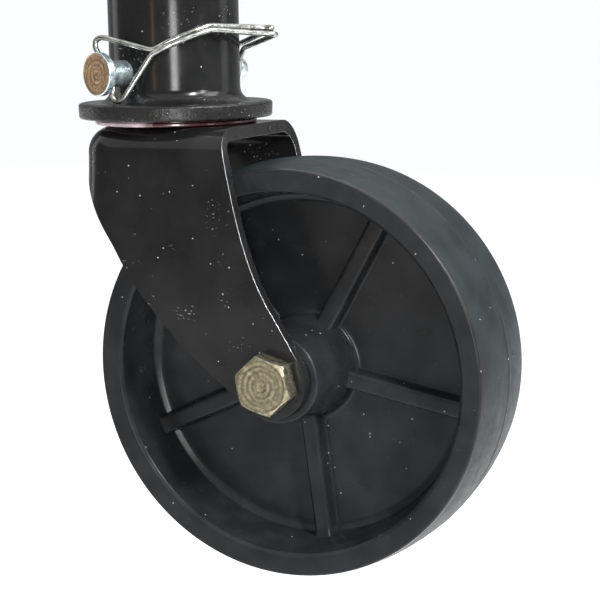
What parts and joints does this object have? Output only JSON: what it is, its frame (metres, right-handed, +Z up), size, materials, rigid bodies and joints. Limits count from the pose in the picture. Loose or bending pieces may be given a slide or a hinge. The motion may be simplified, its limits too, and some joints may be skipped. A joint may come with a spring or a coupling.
{
  "type": "trailer tongue jack",
  "caption": "Bolt-on tube jack with a top crank, a screw-driven extension tube and a pinned, swivelling caster wheel in a pressed fork.",
  "frame": {"origin": "centre of the four mounting holes, on the plate's mounting face", "axes": "+Z up along the lift tube, +Y into the trailer frame, the caster trails towards +X at rest"},
  "size_m": [0.1799, 0.1831, 0.7285],
  "materials": {
    "black_paint": "gloss black paint over steel",
    "black_plastic": "moulded black plastic",
    "wheel_plastic": "satin black moulded polymer",
    "grip_rubber": "matte black grip",
    "zinc_plate": "clear zinc plate",
    "spring_wire": "bright zinc plated spring wire",
    "yellow_zinc": "yellow zinc plate",
    "machined_steel": "machined steel, greased",
    "lavender_plastic": "thin translucent looking pink plastic"
  },
  "bodies": {
    "jack": {"mount_plate": "black_paint", "bracket_webs": "black_paint", "outer_tube": "black_paint", "tube_collar": "black_plastic", "bearing_plate": "machined_steel", "thrust_races": "machined_steel", "thrust_balls": "machined_steel", "top_cap": "black_plastic", "grease_fitting": "zinc_plate"},
    "crank": {"lift_screw": "machined_steel", "crank_hub": "black_paint", "crank_arm": "black_paint", "crank_pin": "zinc_plate", "grip_rivet": "zinc_plate"},
    "grip": {"crank_grip": "grip_rubber"},
    "extension": {"extension_tube": "zinc_plate", "lift_nut": "machined_steel", "caster_socket": "black_paint", "seal_ring": "lavender_plastic", "kingpin": "machined_steel", "king_washer": "zinc_plate", "king_nut": "zinc_plate", "pull_pin": "yellow_zinc"},
    "clip": {"pin_clip": "spring_wire"},
    "fork": {"fork_yoke": "black_paint", "swivel_balls": "machined_steel", "axle_bolt": "yellow_zinc", "axle_nut": "yellow_zinc", "axle_washer": "zinc_plate", "axle_sleeve": "machined_steel"},
    "wheel": {"wheel": "wheel_plastic", "hub_bushing": "machined_steel"}
  },
  "joints": [
    {"name": "tube_extend", "type": "slide", "parent": "jack", "child": "extension", "axis": [0, 0, -1], "range_m": [0, 0.254]},
    {"name": "screw_turn", "type": "hinge", "parent": "jack", "child": "crank", "pos_m": [0, -0.058, 0], "axis": [0, 0, -1], "range_deg": [0, 15245]},
    {"name": "grip_spin", "type": "hinge", "parent": "crank", "child": "grip", "pos_m": [0, 0.067, 0.2], "axis": [0, 0, 1], "continuous": true},
    {"name": "clip_swing", "type": "hinge", "parent": "extension", "child": "clip", "pos_m": [-0.01184, -0.0873, -0.247], "axis": [0.4636, -0.1873, -0.866], "range_deg": [0, 100]},
    {"name": "caster_swivel", "type": "hinge", "parent": "extension", "child": "fork", "pos_m": [0, -0.058, -0.266], "axis": [0, 0, 1], "continuous": true},
    {"name": "wheel_spin", "type": "hinge", "parent": "fork", "child": "wheel", "pos_m": [0.0527, -0.058, -0.3538], "axis": [0, 1, 0], "continuous": true}
  ],
  "couplings": [
    {"joint": "screw_turn", "follows": "tube_extend", "rad_per_m": 1047.2}
  ]
}
